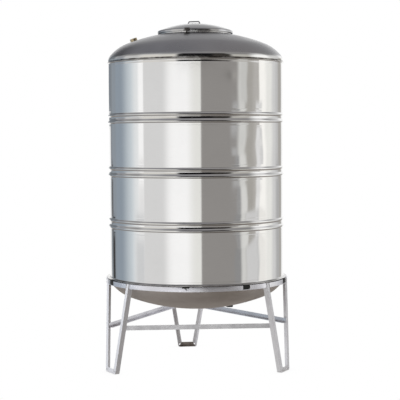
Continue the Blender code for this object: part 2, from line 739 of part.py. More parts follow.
def make_tank():
    """The whole part."""
    clear_scene()
    new_collection(PART_COLLECTION)
    new_collection(CUTTER_COLLECTION)
    new_empty("tank_axis", Matrix.Translation(AXIS_PLACE))
    turn = Matrix.Rotation(LID_TURN, 4, "Z")
    make_shell()
    make_roof()
    make_dish()
    make_neck()
    make_lid()
    roof_space = roof_cutter()
    lid_space = lid_cutter()
    make_handle(turn, lid_space)
    make_hinge(turn, roof_space, lid_space)
    make_hasp(turn, roof_space)
    make_sockets(roof_space, dish_cutter())
    slabs = {(leg, side): side_slab(leg, side) for leg in LEG_AZIMUTHS for side in (-1, 1)}
    for leg in LEG_AZIMUTHS:
        make_leg(leg, slabs)
    make_hoop(slabs)
    for name, (first, second) in BRACES.items():
        make_brace(name, first, second)
    for name, (middle, half_angle, drop) in PADS.items():
        make_pad(name, middle, half_angle, drop)
    hang_on_hinge(turn, ("lid", "lid_handle", "hinge_leaf", "hasp"))
    bpy.context.view_layer.update()


make_tank()
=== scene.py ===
"""Looks of the vertical storage tank: fine turned sheet metal, welds, threads, studio and camera."""
import json
import math

import bmesh
import bpy
from mathutils import Matrix, Vector, noise


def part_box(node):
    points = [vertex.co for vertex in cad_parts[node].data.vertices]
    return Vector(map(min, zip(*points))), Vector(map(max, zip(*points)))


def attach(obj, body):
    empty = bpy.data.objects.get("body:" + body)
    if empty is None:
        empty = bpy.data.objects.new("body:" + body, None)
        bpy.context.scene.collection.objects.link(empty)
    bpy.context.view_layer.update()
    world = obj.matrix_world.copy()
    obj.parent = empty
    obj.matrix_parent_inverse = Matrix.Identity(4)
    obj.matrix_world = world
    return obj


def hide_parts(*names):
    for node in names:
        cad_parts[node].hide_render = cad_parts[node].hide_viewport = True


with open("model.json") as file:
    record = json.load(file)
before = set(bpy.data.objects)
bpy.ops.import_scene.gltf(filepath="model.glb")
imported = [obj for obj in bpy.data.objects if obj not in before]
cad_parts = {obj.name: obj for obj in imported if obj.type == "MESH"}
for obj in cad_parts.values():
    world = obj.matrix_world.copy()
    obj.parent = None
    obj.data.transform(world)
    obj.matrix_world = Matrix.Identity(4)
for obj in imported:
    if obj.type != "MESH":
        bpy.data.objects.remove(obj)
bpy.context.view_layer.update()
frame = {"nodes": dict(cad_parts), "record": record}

# Sizes of the part, in metres, as in its model
AXIS_Y = -0.0177
SHELL_RADIUS = 0.480
SHEET = 0.003
SEAM_HEIGHT = 1.665
BASE_HEIGHT = 0.4897
SEAM_BEAD_HEIGHT = SEAM_HEIGHT - 0.005
SEAM_BEAD_PROUD = 0.0055
SEAM_BEAD_HALF = 0.0045
FLARE_RADIUS = 0.496
FLARE_HEIGHT = 0.007
FLARE_LIP = 0.0018
BEAD_PAIR_HEIGHTS = (1.358, 1.0718, 0.7915)
BEAD_SPACING = 0.0336
BEAD_HALF = 0.0114
BEAD_PROUD = 0.0058
# How the sheet tilts across a pair of beads: heights over the pair's middle, and degrees of tilt, + facing up
BEAD_TILTS = (
    (0.0282, 6), (0.0276, 27), (0.0262, 34), (0.0225, 32), (0.0205, 22), (0.0190, 13), (0.0165, 4),
    (0.0152, -5), (0.0142, -34), (0.0125, -40), (0.0098, -36), (0.0080, -12), (0.0068, 2), (0.0045, 4),
    (0.0, 7), (-0.0045, 11), (-0.0060, 24), (-0.0085, 30), (-0.0130, 28), (-0.0152, 20), (-0.0180, 9),
    (-0.0205, 2), (-0.0215, -8), (-0.0222, -46), (-0.0255, -50), (-0.0264, -20), (-0.0282, 0),
)
CROWN_RADIUS = 1.051
CROWN_EDGE = math.radians(21.2)
RIM_ROLL_EDGE = math.radians(52.6)
RIM_ROLL_RADIUS = 0.0293
ROOF_RIM = (0.4805, 0.0103)
DISH_RIM = (0.4785, 0.0168)
NECK_RADIUS = 0.198
NECK_WALL = 0.002
LID_RADIUS = 0.207
LID_SHEET = 0.002
LID_CROWN_RADIUS = 0.530
LID_TOP = SEAM_HEIGHT + 0.2127
LID_BOTTOM = SEAM_HEIGHT + 0.1575
LID_EDGE_ROLL = 0.007
ROOF_SOCKET_AT = (0.335, math.radians(-88.0))
ROOF_SOCKET_RADII = (0.0195, 0.014)
ROOF_SOCKET_RISE = 0.0175
GAP = 0.0003

# Small forms that the solids leave out, in metres
FOLD = 0.0004
CUT_EDGE = 0.0006
LID_FOLD = 0.0008
RIM_LIP = 0.00024
CREVICE_RISE = 0.0006
CREVICE_HEIGHT = 0.0009
CREVICE_DEPTH = 0.0012
LIP_HEIGHTS = (0.0022, 0.0016)
HANDLE_SWELL = 0.0010
NECK_WELD = 0.0016
NECK_WELD_OUT = 0.0012
NECK_WELD_RISE = 0.0006
SOCKET_WELD = 0.0012
SOCKET_WELD_OUT = 0.0008
FOOT_WELD = 0.0013
HOOP_WELD = 0.0014
WELD_STEP = 0.0016
WELD_MARGIN = 0.001
BRACE_EDGE = 0.0011
FITTING_EDGE = 0.0006
# How much a weld bead ripples, how uneven it is and how thick its ends are, as shares of its radius
WELD_RIPPLE = 0.22
WELD_UNEVEN = 0.25
WELD_END = 0.55
# The socket's thread: its turns, and its section as points out from the bore's wall and along it in pitches
THREAD_TURNS = 7
THREAD_START = 0.002
THREAD_MARGIN = 0.003
THREAD_SECTION = ((0.0002, -0.5), (-0.0011, -0.08), (-0.0011, 0.08), (0.0002, 0.5))

# Steps round the turned pieces, and rows of faces along their parts
SHELL_STEPS = 360
DISH_STEPS = 300
LID_STEPS = 240
COURSE_ROWS = 14
BEAD_ROWS = 52
CURVE_ROWS = 10
# Power that draws the seam's ridge to a sharper crest than a half circle
RIDGE_SHARPNESS = 1.5

# Stand of steel angle
ANGLE = 0.025
ANGLE_SHEET = 0.003
HOOP_INNER = 0.481
HOOP_OUTER = 0.501
HOOP_TOP = 0.487
LEG_AZIMUTHS = {"left": math.radians(-60.4), "right": math.radians(62.4), "back": math.radians(186.5)}
LEG_TOP_RADIUS = 0.4866
LEG_TOP_HALF = 0.1341
LEG_FOOT_RADIUS = 0.5345
LEG_FOOT_HALVES = {"left": 0.0577, "right": 0.0537, "back": 0.054}
LEG_LEAN = (LEG_FOOT_RADIUS - LEG_TOP_RADIUS) / HOOP_TOP
FOOT_CORNER = 0.010
FOOT_HOLE = 0.0048
HOOP_PARTS = {
    "hoop_front": (("left", 1), ("right", -1)),
    "hoop_right": (("right", 1), ("back", -1)),
    "hoop_left": (("back", 1), ("left", -1)),
    "hoop_left_leg": (("left", -1), ("left", 1)),
    "hoop_right_leg": (("right", -1), ("right", 1)),
    "hoop_back_leg": (("back", -1), ("back", 1)),
}

# Loose ends of the rubber pads on the hoop's face: points (azimuth in degrees, height) and width
PAD_ENDS = (
    ("pad_front_left_end", ((-8.4, 0.4868), (-7.4, 0.4835), (-6.6, 0.4775), (-5.7, 0.4715)), 0.0045),
    ("pad_front_left_tip", ((-8.6, 0.4850), (-6.0, 0.4856), (-4.6, 0.4850)), 0.0035),
    ("pad_front_right_end", ((32.9, 0.4868), (33.0, 0.4780), (33.0, 0.4700)), 0.0085),
)
PAD_THICKNESS = 0.0012
PAD_LIFT = 0.0001

# Camera, fitted to the photograph's outlines: metres, radians, and millimetres for the lens and its sensor
CAMERA_PLACE = (0.0, -6.47672, 1.25892)
CAMERA_PITCH = 0.0540244
CAMERA_ROLL = -0.0056814
CAMERA_PAN = 0.0032000
CAMERA_LENS = 105.48
CAMERA_SENSOR = 36.0
CAMERA_REACH = 200.0

# Waves and dents of the rolled sheet, how close they follow round it and up it, and how far in they are set
# to stay inside the solid's outline
SLOW_WAVE = 0.00035
WAVES_AROUND = 1.6
WAVES_UP = 1.9
DENT_DEPTH = 0.0016
DENTS_AROUND = 4.2
DENTS_UP = 8.0
DENT_MIDDLE = math.radians(36.0)
DENT_SPREAD = math.radians(22.0)
WAVE_INSET = 0.0007
# How far each course bulges between its beads
COURSE_BULGE = 0.0006
# Rows of faces that hold the sheet straight up to a bead's edge
EDGE_HOLD = 0.0007
# Faint line that the rolls leave beside each bead: its distance from the bead's edge, half width and height
ROLL_LINE = 0.0125
ROLL_LINE_HALF = 0.0011
ROLL_LINE_PROUD = 0.00006

# How much light the polished sheet gives back; the studio's levels are divided by it
REFLECTANCE = 0.74

# The studio round the tank: rings of screens, each over a base level. A screen runs from one azimuth to
# another, where 0 faces the tank's front and + is to the right. It has a level, as it shows in the polished
# sheet, and the softness of its two edges in degrees. The low ones may have a lowest and a highest elevation.
LOW_BASE = 0.91
LOW_RING = (
    (-152, -120, (0.50, 0.52, 0.54), 3, 4),
    (-144, -100, (0.53, 0.56, 0.59), 4, 4),
    (-130, -76, (0.54, 0.58, 0.62), 4, 3),
    (-103, -76, (0.77, 0.80, 0.82), 14, 3),
    (-89, -76, (0.87, 0.88, 0.885), 6, 2),
    (-80, -71.5, 0.96, 2.5, 0.8),
    (-71.5, -36, 0.82, 0.8, 8),
    (-36, -4, 0.955, 10, 8),
    (-6, 6.5, (0.88, 0.88, 0.865), 8, 0.9),
    (6.5, 92, (0.55, 0.54, 0.53), 0.9, 2),
    (64, 92, (0.64, 0.63, 0.61), 3, 2),
    (80, 92, (0.69, 0.68, 0.665), 4, 2),
    (56, 67, (0.80, 0.80, 0.79), 4, 2.5),
    (91, 106, (0.965, 0.96, 0.945), 1.5, 4),
    (104, 124, (0.89, 0.89, 0.875), 5, 3),
    (118, 136, 0.79, 5, 3),
    (128, 142, 0.73, 4, 3),
    (137, 152, (0.63, 0.62, 0.605), 4, 3),
    (-164, -148, (0.46, 0.485, 0.51), 3, 4, 0.9, 5),
    (-147, -142, 0.34, 1.5, 2, -4.4, -1.6),
    (-143.5, -135, 0.22, 1.5, 2, -14, -4.4),
    (-80, -71.5, 0.88, 3, 0.8, -4.4, -1.6),
    (-86, -71.5, (0.79, 0.795, 0.80), 5, 0.8, -14, -4.4),
    (47, 56, 0.66, 3, 3, -1.6, 0.9),
    (85, 91, 0.86, 1.5, 1.5, -1.6, 0.9),
    (91, 96, 0.80, 1.5, 1.5, -1.6, 0.9),
    (53, 60, 0.57, 3, 2, -4.4, -1.6),
    (84, 92, 0.87, 1.5, 1.5, -4.4, -1.6),
    (50, 60, 0.54, 3, 2, -14, -4.4),
    (67, 92, 0.79, 2, 2, -14, -4.4),
    (88, 97, 0.75, 2, 2, -14, -4.4),
    (131, 141, 0.66, 4, 3, -14, -1.6),
    (60, 70.5, (0.76, 0.76, 0.75), 3, 2, 0.9, 5),
    (60, 69.5, (0.83, 0.83, 0.82), 3, 2, -4.4, -1.6),
    (91, 104, (0.90, 0.895, 0.88), 2, 4, -14, -4.4),
)
MIDDLE_BASE = 0.80
MIDDLE_RING = (
    (-160, -128, (0.42, 0.44, 0.46), 6, 6),
    (-128, -104, (0.56, 0.57, 0.59), 6, 6),
    (-104, -76, 0.74, 8, 6),
    (-76, -46, (0.82, 0.81, 0.79), 6, 6),
    (-46, -24, (0.80, 0.79, 0.77), 6, 4),
    (-24, 28, (0.07, 0.065, 0.07), 4, 4),
    (22, 50, (0.21, 0.20, 0.19), 5, 6),
    (48, 76, (0.69, 0.68, 0.66), 6, 6),
    (80, 112, 0.96, 8, 8),
    (112, 142, 0.79, 8, 6),
    (144, 181, 0.90, 6, 0),
    (-181, -165, 0.90, 0, 6),
)
HIGH_BASE = 0.62
HIGH_RING = (
    (-160, -120, (0.29, 0.29, 0.30), 6, 8),
    (-118, -84, 0.55, 8, 8),
    (-84, -46, 0.71, 8, 8),
    (-46, -22, 0.62, 8, 6),
    (-22, 30, (0.22, 0.215, 0.23), 6, 6),
    (22, 46, (0.22, 0.215, 0.21), 6, 8),
    (46, 86, 0.50, 8, 8),
    (88, 112, 0.82, 8, 8),
    (112, 146, 0.54, 8, 8),
)
CEILING = (0.51, 0.51, 0.525)
CEILING_RIGHT = (0.555, 0.545, 0.545)
FLOOR_BASE = (0.52, 0.50, 0.48)
FLOOR_RING = (
    (-80, -6, (0.70, 0.69, 0.67), 12, 8),
    (-12, 56, (0.36, 0.34, 0.32), 6, 10),
    (60, 130, (0.46, 0.43, 0.40), 8, 20),
)
FLOOR_LEFT = (0.545, 0.53, 0.52)
FLOOR_RIGHT = (0.36, 0.335, 0.31)
WHITE = (1.0, 1.0, 1.0, 1.0)
# Elevations in degrees between which one ring gives way to the next
LOW_TO_MIDDLE = (4.5, 5.6)
MIDDLE_TO_HIGH = (13.0, 30.0)
HIGH_TO_CEILING = (30.0, 46.0)
NEAR_TO_LOW = (-16.0, -9.0)
FLOOR_TO_NEAR = (-58.0, -30.0)
SCREEN_EDGE = 0.5
# How far left and right the ceiling and the floor change from one side's colour to the other's
LEFT_TO_RIGHT = (-0.6, 0.6)
# The floor's gloss: azimuths between which it fades, its strength, and how much deeper the near floor goes
GLOSS_FADE = (130.0, 165.0)
GLOSS = 0.2
GLOSS_DEPTH = 8.0

# The white floor that the camera sees, and its faint shade
FLOOR_REACH = 40.0
SHADE_REACH = 0.12
SHADE_FADE = (0.35, 0.95)
SHADE_LEAST = 0.80
SHADE_COLOUR = (0.55, 0.55, 0.57, 1.0)

# The lamp for the painted legs, placed about the tank's front and aimed at the stand
LAMP_SIZE = 1.6
LAMP_POWER = 50.0
LAMP_AZIMUTH = -92.0
LAMP_REACH = 3.0
LAMP_HEIGHT = 0.9
LAMP_AIM_HEIGHT = 0.25

# Dark colour of the grime in the joint over the seam's ridge, also laid on as painted shade in the shell's
# flared foot; the height of the grime's middle over the seam, and where it fades
GRIME_AND_SHADE = (0.10, 0.085, 0.075, 1.0)
GRIME_RISE = -0.0004
GRIME_FADE = (0.0036, 0.0054)
# Heights over the shell's lower edge between which the painted shade in its foot fades
FOOT_SHADE_FADE = (0.0035, 0.0075)
# Heights over the seam between which the roof's film begins, its ragged edge, and how rough film and rim are
FILM_FADE = (0.0178, 0.0330)
FILM_RAGGED = 0.002
FILM_ROUGHNESS = (0.20, 0.27)
RIM_ROUGHNESS = 0.06
# The span that most values of a noise texture lie in
NOISE_SPAN = (0.3, 0.7)
# Fine grain of sheet, paint and moulded parts, as heights in metres
SHEET_GRAIN = 0.00001
PAINT_GRAIN = 0.00002
MOULD_GRAIN = 0.0002
MOTTLE_SCALE = 60.0


def place(name, data):
    """A new object in the scene."""
    item = bpy.data.objects.new(name, data)
    bpy.context.scene.collection.objects.link(item)
    return item


# Node helpers

def add(tree, kind, **settings):
    """Add a node with its settings."""
    node = tree.nodes.new(kind)
    for key, value in settings.items():
        setattr(node, key, value)
    return node


def feed(tree, socket, value):
    """Set a socket, or link another socket to it."""
    if isinstance(value, bpy.types.NodeSocket):
        tree.links.new(value, socket)
    else:
        socket.default_value = value


def maths(tree, operation, *values):
    """A maths node's result."""
    node = add(tree, "ShaderNodeMath", operation=operation)
    for socket, value in zip(node.inputs, values):
        feed(tree, socket, value)
    return node.outputs[0]


def ramp(tree, value, low, high, out_low=0.0, out_high=1.0):
    """A smooth step from low to high."""
    node = add(tree, "ShaderNodeMapRange", interpolation_type="SMOOTHSTEP")
    names = ("Value", "From Min", "From Max", "To Min", "To Max")
    for name, item in zip(names, (value, low, high, out_low, out_high)):
        feed(tree, node.inputs[name], item)
    return node.outputs["Result"]


def blend(tree, factor, first, second):
    """A mix of two colours."""
    node = add(tree, "ShaderNodeMix", data_type="RGBA")
    feed(tree, node.inputs["Factor"], factor)
    colours = [socket for socket in node.inputs if socket.type == "RGBA"]
    feed(tree, colours[0], first)
    feed(tree, colours[1], second)
    return [socket for socket in node.outputs if socket.type == "RGBA"][0]


def axes(tree, coords):
    """The three parts of coordinates."""
    parts = add(tree, "ShaderNodeSeparateXYZ")
    tree.links.new(coords, parts.inputs[0])
    return parts.outputs


def spots(tree, coords, scale, detail=3.0, roughness=0.5, stretch=None):
    """A noise texture's value, stretched along the axes if asked."""
    if stretch:
        mapping = add(tree, "ShaderNodeMapping")
        mapping.inputs["Scale"].default_value = stretch
        tree.links.new(coords, mapping.inputs["Vector"])
        coords = mapping.outputs["Vector"]
    node = add(tree, "ShaderNodeTexNoise")
    tree.links.new(coords, node.inputs["Vector"])
    node.inputs["Scale"].default_value = scale
    node.inputs["Detail"].default_value = detail
    node.inputs["Roughness"].default_value = roughness
    return node.outputs["Fac"]


# Studio

def shown(level):
    """The radiance whose reflection in the polished sheet shows as this level, grey or coloured."""
    levels = (level,) * 3 if isinstance(level, float) else level
    linear = [((v + 0.055) / 1.055) ** 2.4 / REFLECTANCE for v in levels]
    return (*linear, 1.0)


def within(tree, value, low, high, soft_low, soft_high):
    """1 between low and high and 0 outside, with soft edges; an edge with no softness is left out."""
    mask = 1.0
    if soft_low:
        mask = ramp(tree, value, low - soft_low, low + soft_low)
    if soft_high:
        mask = maths(tree, "MULTIPLY", mask, ramp(tree, value, high - soft_high, high + soft_high, 1.0, 0.0))
    return mask


def ring(tree, azimuth, elevation, base, screens):
    """A ring of screens, each laid over the one before."""
    colour = shown(base)
    for start, stop, level, soft_in, soft_out, *heights in screens:
        mask = within(tree, azimuth, start, stop, soft_in, soft_out)
        if heights:
            mask = maths(tree, "MULTIPLY", mask, within(tree, elevation, *heights, SCREEN_EDGE, SCREEN_EDGE))
        colour = blend(tree, mask, colour, shown(level))
    return colour


def make_studio():
    """The light round the tank, and the white that the camera sees behind it."""
    world = bpy.data.worlds.new("studio")
    bpy.context.scene.world = world
    world.use_nodes = True
    tree = world.node_tree
    tree.nodes.clear()
    coords = add(tree, "ShaderNodeTexCoord").outputs["Generated"]
    east, north, height = axes(tree, coords)
    to_degrees = 180.0 / math.pi
    turn = maths(tree, "ARCTAN2", east, maths(tree, "MULTIPLY", north, -1.0))
    azimuth = maths(tree, "MULTIPLY", turn, to_degrees)
    elevation = maths(tree, "MULTIPLY", maths(tree, "ARCSINE", height), to_degrees)
    rings = (LOW_BASE, LOW_RING), (MIDDLE_BASE, MIDDLE_RING), (HIGH_BASE, HIGH_RING), (FLOOR_BASE, FLOOR_RING)
    low, middle, high, near_floor = [ring(tree, azimuth, elevation, *parts) for parts in rings]
    rightward = ramp(tree, east, *LEFT_TO_RIGHT)
    ceiling = blend(tree, rightward, shown(CEILING), shown(CEILING_RIGHT))
    floor = blend(tree, rightward, shown(FLOOR_LEFT), shown(FLOOR_RIGHT))
    colour = blend(tree, ramp(tree, elevation, *LOW_TO_MIDDLE), low, middle)
    colour = blend(tree, ramp(tree, elevation, *MIDDLE_TO_HIGH), colour, high)
    colour = blend(tree, ramp(tree, elevation, *HIGH_TO_CEILING), colour, ceiling)
    # In front and at the sides the floor is glossy and mirrors the screens
    facing = ramp(tree, maths(tree, "ABSOLUTE", azimuth), *GLOSS_FADE, 1.0, 0.0)
    near_floor = blend(tree, maths(tree, "MULTIPLY", facing, GLOSS), near_floor, low)
    colour = blend(tree, ramp(tree, elevation, *NEAR_TO_LOW, 1.0, 0.0), colour, near_floor)
    deep = maths(tree, "MULTIPLY_ADD", facing, GLOSS_DEPTH, elevation)
    colour = blend(tree, ramp(tree, deep, *FLOOR_TO_NEAR, 1.0, 0.0), colour, floor)
    seen = add(tree, "ShaderNodeLightPath").outputs["Is Camera Ray"]
    colour = blend(tree, seen, colour, WHITE)
    light = add(tree, "ShaderNodeBackground")
    tree.links.new(colour, light.inputs["Color"])
    tree.links.new(light.outputs[0], add(tree, "ShaderNodeOutputWorld").inputs["Surface"])


def make_lamp():
    """A soft lamp low on the left for the painted legs; it stays out of every reflection."""
    data = bpy.data.lights.new("lamp", "AREA")
    data.shape = "DISK"
    data.size = LAMP_SIZE
    data.energy = LAMP_POWER
    lamp = place("lamp", data)
    lamp.location = outward(math.radians(LAMP_AZIMUTH)) * LAMP_REACH + Vector((0.0, 0.0, LAMP_HEIGHT))
    aim = Vector((0.0, 0.0, LAMP_AIM_HEIGHT)) - lamp.location
    lamp.rotation_euler = aim.to_track_quat("-Z", "Y").to_euler()
    lamp.visible_glossy = False
    lamp.visible_camera = False


def make_floor():
    """A plain white floor with a faint shade where something stands on it."""
    mesh = bpy.data.meshes.new("floor")
    corners = [(x * FLOOR_REACH, y * FLOOR_REACH, 0) for x, y in ((-1, -1), (1, -1), (1, 1), (-1, 1))]
    mesh.from_pydata(corners, [], [(0, 1, 2, 3)])
    floor = place("floor", mesh)
    material = bpy.data.materials.new("floor")
    material.use_nodes = True
    tree = material.node_tree
    tree.nodes.clear()
    shade = add(tree, "ShaderNodeAmbientOcclusion", samples=8)
    shade.inputs["Distance"].default_value = SHADE_REACH
    level = ramp(tree, shade.outputs["AO"], *SHADE_FADE, SHADE_LEAST, 1.0)
    light = add(tree, "ShaderNodeEmission")
    tree.links.new(blend(tree, level, SHADE_COLOUR, WHITE), light.inputs["Color"])
    tree.links.new(light.outputs[0], add(tree, "ShaderNodeOutputMaterial").inputs["Surface"])
    mesh.materials.append(material)
    floor.visible_glossy = False
    floor.visible_diffuse = False
    floor.visible_shadow = False


def make_camera():
    """The camera at the photograph's place."""
    pitch, roll, pan = CAMERA_PITCH, CAMERA_ROLL, CAMERA_PAN
    forward = Vector((math.sin(pan) * math.cos(pitch), math.cos(pan) * math.cos(pitch), -math.sin(pitch)))
    level = Vector((math.cos(pan), -math.sin(pan), 0.0))
    upward = level.cross(forward)
    right = level * math.cos(roll) + upward * math.sin(roll)
    up = upward * math.cos(roll) - level * math.sin(roll)
    data = bpy.data.cameras.new("camera")
    data.sensor_width = CAMERA_SENSOR
    data.sensor_fit = "HORIZONTAL"
    data.lens = CAMERA_LENS
    data.clip_end = CAMERA_REACH
    camera = place("camera", data)
    matrix = Matrix((right, up, -forward)).transposed().to_4x4()
    matrix.translation = Vector(CAMERA_PLACE) + Vector((0.0, AXIS_Y, 0.0))
    camera.matrix_world = matrix
    bpy.context.scene.camera = camera


# Materials

def principled(name):
    """A new material's tree, its shader and object coordinates."""
    material = bpy.data.materials.new(name)
    material.use_nodes = True
    tree = material.node_tree
    shader = tree.nodes["Principled BSDF"]
    coords = add(tree, "ShaderNodeTexCoord").outputs["Object"]
    return material, tree, shader, coords


def bump(tree, shader, height, strength, distance):
    """Give the shader a bump from a height."""
    node = add(tree, "ShaderNodeBump")
    node.inputs["Strength"].default_value = strength
    node.inputs["Distance"].default_value = distance
    tree.links.new(height, node.inputs["Height"])
    tree.links.new(node.outputs[0], shader.inputs["Normal"])


def finish(tree, shader, colour, roughness, metallic):
    """Give the shader its colour, its roughness and how metallic it is."""
    tree.links.new(colour, shader.inputs["Base Color"])
    tree.links.new(roughness, shader.inputs["Roughness"])
    shader.inputs["Metallic"].default_value = metallic


def tinted(tree, factor, dark, light):
    """A colour between a dark and a light one."""
    return blend(tree, factor, (*dark, 1.0), (*light, 1.0))


def steel(name, light, dark, smooth, rough, streak_stretch=(1.0, 1.0, 1.0), grain=SHEET_GRAIN):
    """Rolled or satin steel: faint cloudy colour, fine streaks in its polish and a fine grain."""
    material, tree, shader, coords = principled(name)
    clouds = spots(tree, coords, 5.0, 4.0, 0.6)
    streaks = spots(tree, coords, 30.0, 4.0, 0.6, streak_stretch)
    pebble = spots(tree, coords, 260.0, 2.0, 0.5)
    factor = maths(tree, "MULTIPLY_ADD", streaks, 0.5, maths(tree, "MULTIPLY", clouds, 0.5))
    colour = tinted(tree, ramp(tree, factor, *NOISE_SPAN), dark, light)
    finish(tree, shader, colour, ramp(tree, streaks, *NOISE_SPAN, smooth, rough), 1.0)
    height = maths(tree, "MULTIPLY_ADD", streaks, 0.6, maths(tree, "MULTIPLY", pebble, 0.4))
    bump(tree, shader, height, 1.0, grain)
    return material


def painted_foot_shade(material):
    """Painted shade, patchy in strength: the colour darkened in the hollow of the shell's flared foot, above
    the shadowed gap over the hoop.
    """
    tree = material.node_tree
    shader = tree.nodes["Principled BSDF"]
    coords = add(tree, "ShaderNodeTexCoord").outputs["Object"]
    height = axes(tree, coords)[2]
    clean = shader.inputs["Base Color"].links[0].from_socket
    start, stop = (BASE_HEIGHT + over for over in FOOT_SHADE_FADE)
    low = ramp(tree, height, start, stop, 1.0, 0.0)
    patchy = ramp(tree, spots(tree, coords, 18.0, 3.0, 0.6), 0.3, 0.65, 0.2, 0.6)
    grime_and_shade_mask = maths(tree, "MULTIPLY", low, patchy)
    # Darken the foot's colour towards the dark colour: painted shade
    tree.links.new(blend(tree, grime_and_shade_mask, clean, GRIME_AND_SHADE), shader.inputs["Base Color"])


def filmed(name, light, dark, clean):
    """Pressed sheet under a dull grey film that ends where the rim is rolled, which is polished."""
    material, tree, shader, coords = principled(name)
    height = maths(tree, "SUBTRACT", axes(tree, coords)[2], SEAM_HEIGHT)
    clouds = spots(tree, coords, 5.0, 4.0, 0.6)
    film = ramp(tree, maths(tree, "MULTIPLY_ADD", clouds, FILM_RAGGED, height), *FILM_FADE)
    colour = tinted(tree, ramp(tree, clouds, *NOISE_SPAN), dark, light)
    aside = maths(tree, "ABSOLUTE", maths(tree, "SUBTRACT", height, GRIME_RISE))
    grime_and_shade_mask = ramp(tree, aside, *GRIME_FADE, 1.0, 0.0)
    patchy = ramp(tree, spots(tree, coords, 26.0, 3.0, 0.6), 0.35, 0.6, 0.45, 0.95)
    clean_part = blend(tree, maths(tree, "MULTIPLY", grime_and_shade_mask, patchy), (*clean, 1.0), GRIME_AND_SHADE)
    colour = blend(tree, film, clean_part, colour)
    rough = ramp(tree, clouds, *NOISE_SPAN, *FILM_ROUGHNESS)
    finish(tree, shader, colour, maths(tree, "MULTIPLY_ADD", film, rough, RIM_ROUGHNESS), 1.0)
    bump(tree, shader, spots(tree, coords, 260.0, 2.0, 0.5), 1.0, SHEET_GRAIN)
    return material


def painted(name, light, dark, metallic, smooth, rough):
    """Satin silver paint on rolled steel: half metal, half paint, faintly blotched and pebbled."""
    material, tree, shader, coords = principled(name)
    blotches = spots(tree, coords, 14.0, 5.0, 0.6)
    pebble = spots(tree, coords, 300.0, 3.0, 0.6)
    colour = tinted(tree, ramp(tree, blotches, *NOISE_SPAN), dark, light)
    finish(tree, shader, colour, ramp(tree, blotches, *NOISE_SPAN, rough, smooth), metallic)
    bump(tree, shader, pebble, 0.5, PAINT_GRAIN)
    return material


def dull(name, light, dark, low_rough, high_rough, metallic=0.0):
    """Rubber, plastic or tarnished metal with a mottled surface."""
    material, tree, shader, coords = principled(name)
    mottle = spots(tree, coords, MOTTLE_SCALE, 5.0, 0.65)
    colour = tinted(tree, ramp(tree, mottle, 0.35, 0.65), dark, light)
    finish(tree, shader, colour, ramp(tree, mottle, *NOISE_SPAN, low_rough, high_rough), metallic)
    bump(tree, shader, spots(tree, coords, MOTTLE_SCALE * 4, 3.0), 0.5, MOULD_GRAIN)
    return material


# Shapes

def outward(azimuth):
    """The level way out from the tank's axis at an azimuth."""
    return Vector((math.sin(azimuth), -math.cos(azimuth), 0.0))


def polar(radius, azimuth, height):
    """A point about the tank's axis."""
    return Vector((radius * math.sin(azimuth), AXIS_Y - radius * math.cos(azimuth), height))


def circled(middle, turn, radius, angle, rise=0.0):
    """A point on a circle in the plane that a rotation gives, raised along its axis."""
    return middle + turn @ Vector((radius * math.cos(angle), radius * math.sin(angle), rise))


def meshed(name, shape):
    """A mesh of an edited shape, which is then freed."""
    mesh = bpy.data.meshes.new(name)
    shape.to_mesh(mesh)
    shape.free()
    return mesh


def cad_shape(node):
    """An editable copy of a CAD piece, in its place."""
    source = frame["nodes"][node]
    shape = bmesh.new()
    shape.from_mesh(source.data)
    shape.transform(source.matrix_world)
    return shape


def dress(name, mesh, material, body, nodes=(), sharp=30.0):
    """Make a piece of a mesh, with its material and body, in place of the nodes."""
    item = place(name, mesh)
    mesh.materials.append(material)
    mesh.shade_smooth()
    mesh.set_sharp_from_angle(angle=math.radians(sharp))
    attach(item, body)
    if nodes:
        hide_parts(*nodes)


def lathe(name, node, profile, steps, material, body="tank", closed=True, wave=None):
    """A piece of sheet turned about the tank's axis from (radius, height) points, in place of a node.

    The wave moves each point in or out.
    """
    vertices = []
    rows = []
    for radius, height in profile:
        first = len(vertices)
        if radius < 1e-6:
            rows.append([first] * steps)
            vertices.append(polar(0.0, 0.0, height))
            continue
        rows.append(list(range(first, first + steps)))
        for step in range(steps):
            azimuth = math.tau * step / steps
            out = wave(azimuth, height) if wave else 0.0
            vertices.append(polar(radius + out, azimuth, height))
    faces = []
    for upper, lower in zip(rows, rows[1:] + rows[:1] if closed else rows[1:]):
        for corners in zip(upper, lower, lower[1:] + lower[:1], upper[1:] + upper[:1]):
            face = list(dict.fromkeys(corners))
            if len(face) > 2:
                faces.append(face)
    mesh = bpy.data.meshes.new(name)
    mesh.from_pydata(vertices, [], faces)
    mesh.validate()
    dress(name, mesh, material, body, [node])


